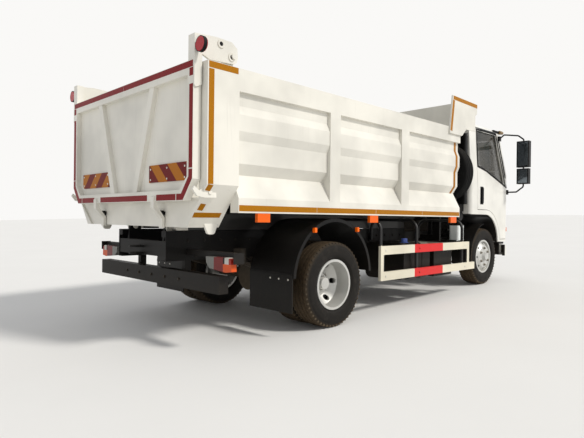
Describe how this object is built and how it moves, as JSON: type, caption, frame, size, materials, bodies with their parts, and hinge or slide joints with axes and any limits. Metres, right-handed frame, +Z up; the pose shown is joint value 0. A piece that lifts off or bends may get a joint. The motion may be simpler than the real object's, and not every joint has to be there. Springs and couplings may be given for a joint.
{
  "type": "dump truck",
  "caption": "Cab-over dump truck with a tipping steel load body, top-hung tailgate, tilting cab, opening doors, steered front wheels and twin rear wheels.",
  "frame": {"origin": "on the ground, under the middle of the overall length and width", "axes": "+X forward, +Y to the vehicle's left, +Z up from level ground; the frame sits 1.59 degrees nose down on its unladen rear springs"},
  "size_m": [5.822, 2.64, 2.4716],
  "materials": {
    "bed_paint": "satin warm white, dusty",
    "cab_paint": "gloss warm white",
    "frame_paint": "satin near black",
    "guard_paint": "satin cream white with red",
    "tank_paint": "satin grey",
    "steel": "dull dark iron",
    "rod_steel": "polished",
    "rim_paint": "silver, dusty",
    "tyre": "worn",
    "black_plastic": "matt",
    "lamp_red": "clear gloss",
    "lamp_amber": "clear gloss",
    "headlamp": "clear gloss",
    "glass": "clear",
    "seat_cloth": "woven"
  },
  "bodies": {
    "chassis": {"air_intake": "black_plastic", "axles": "frame_paint", "bumper": "cab_paint", "chassis_lamps": "lamp_red", "engine": "steel", "fenders": "black_plastic", "ladder_frame": "frame_paint", "leaf_springs": "steel", "side_guards": "guard_paint", "spare_carrier": "frame_paint", "spare_wheel": "tyre", "tanks_and_battery_box": "tank_paint", "underride_beam": "frame_paint"},
    "cab": {"cab_shell": "cab_paint", "cab_glass": "glass", "seats": "seat_cloth", "dashboard": "black_plastic", "mirrors": "black_plastic", "grille": "black_plastic", "headlamps": "headlamp"},
    "door_right": {"door_right": "cab_paint", "door_glass_right": "glass"},
    "door_left": {"door_left": "cab_paint", "door_glass_left": "glass"},
    "bed": {"bed_floor": "bed_paint", "bed_side_right": "bed_paint", "bed_side_left": "bed_paint", "rear_posts": "bed_paint", "bed_headboard": "bed_paint", "side_markers": "lamp_amber"},
    "tailgate": {"tailgate": "bed_paint", "gate_lamps": "lamp_red"},
    "hoist_barrel": {"hoist_barrel": "frame_paint"},
    "hoist_rod": {"hoist_rod": "rod_steel"},
    "knuckle_right": {"steering_knuckle_right": "steel"},
    "knuckle_left": {"steering_knuckle_left": "steel"},
    "tie_rod": {"tie_rod": "steel"},
    "front_wheel_right": {"front_tyre_right": "tyre", "front_rim_right": "rim_paint"},
    "front_wheel_left": {"front_tyre_left": "tyre", "front_rim_left": "rim_paint"},
    "rear_wheels_right": {"rear_tyres_right": "tyre", "rear_rims_right": "rim_paint"},
    "rear_wheels_left": {"rear_tyres_left": "tyre", "rear_rims_left": "rim_paint"}
  },
  "joints": [
    {"name": "bed_tilt", "type": "hinge", "parent": "chassis", "child": "bed", "pos_m": [-2.6185, 0, 0.96044], "axis": [0, -1, 0], "range_deg": [0, 50]},
    {"name": "tailgate_swing", "type": "hinge", "parent": "bed", "child": "tailgate", "pos_m": [-2.51907, 0, 2.27218], "axis": [0, 1, 0], "range_deg": [0, 70]},
    {"name": "cab_tilt", "type": "hinge", "parent": "chassis", "child": "cab", "pos_m": [2.75491, 0, 0.57619], "axis": [0, 1, 0], "range_deg": [0, 45]},
    {"name": "door_right_swing", "type": "hinge", "parent": "cab", "child": "door_right", "pos_m": [2.78028, -0.984, 0.98565], "axis": [0.0277, 0, 0.9996], "range_deg": [0, 65]},
    {"name": "door_left_swing", "type": "hinge", "parent": "cab", "child": "door_left", "pos_m": [2.78028, 0.984, 0.98565], "axis": [-0.0277, 0, -0.9996], "range_deg": [0, 65]},
    {"name": "steer_right", "type": "hinge", "parent": "chassis", "child": "knuckle_right", "pos_m": [2.10534, -0.775, 0.4], "axis": [0, 0, 1], "range_deg": [-35, 35]},
    {"name": "steer_left", "type": "hinge", "parent": "chassis", "child": "knuckle_left", "pos_m": [2.10534, 0.775, 0.4], "axis": [0, 0, 1], "range_deg": [-35, 35]},
    {"name": "tie_rod_pivot", "type": "hinge", "parent": "knuckle_right", "child": "tie_rod", "pos_m": [1.98534, -0.775, 0.3], "axis": [0, 0, 1], "range_deg": [-35, 35]},
    {"name": "hoist_swing", "type": "hinge", "parent": "chassis", "child": "hoist_barrel", "pos_m": [-0.73547, 0, 0.68308], "axis": [0, 1, 0], "range_deg": [0, 13]},
    {"name": "hoist_extend", "type": "slide", "parent": "hoist_barrel", "child": "hoist_rod", "axis": [-0.9701, 0, 0.2427], "range_m": [0, 0.395]},
    {"name": "front_wheel_right_spin", "type": "hinge", "parent": "knuckle_right", "child": "front_wheel_right", "pos_m": [2.10534, -0.842, 0.4], "axis": [0, 1, 0], "continuous": true},
    {"name": "front_wheel_left_spin", "type": "hinge", "parent": "knuckle_left", "child": "front_wheel_left", "pos_m": [2.10534, 0.842, 0.4], "axis": [0, 1, 0], "continuous": true},
    {"name": "rear_wheels_right_spin", "type": "hinge", "parent": "chassis", "child": "rear_wheels_right", "pos_m": [-1.35466, -0.861, 0.4], "axis": [0, 1, 0], "continuous": true},
    {"name": "rear_wheels_left_spin", "type": "hinge", "parent": "chassis", "child": "rear_wheels_left", "pos_m": [-1.35466, 0.861, 0.4], "axis": [0, 1, 0], "continuous": true}
  ],
  "couplings": [
    {"joint": "steer_left", "follows": "steer_right", "ratio": 1},
    {"joint": "tie_rod_pivot", "follows": "steer_right", "ratio": -1},
    {"joint": "hoist_swing", "follows": "bed_tilt", "ratio": 0.251},
    {"joint": "hoist_extend", "follows": "bed_tilt", "m_per_rad": 0.4464}
  ]
}
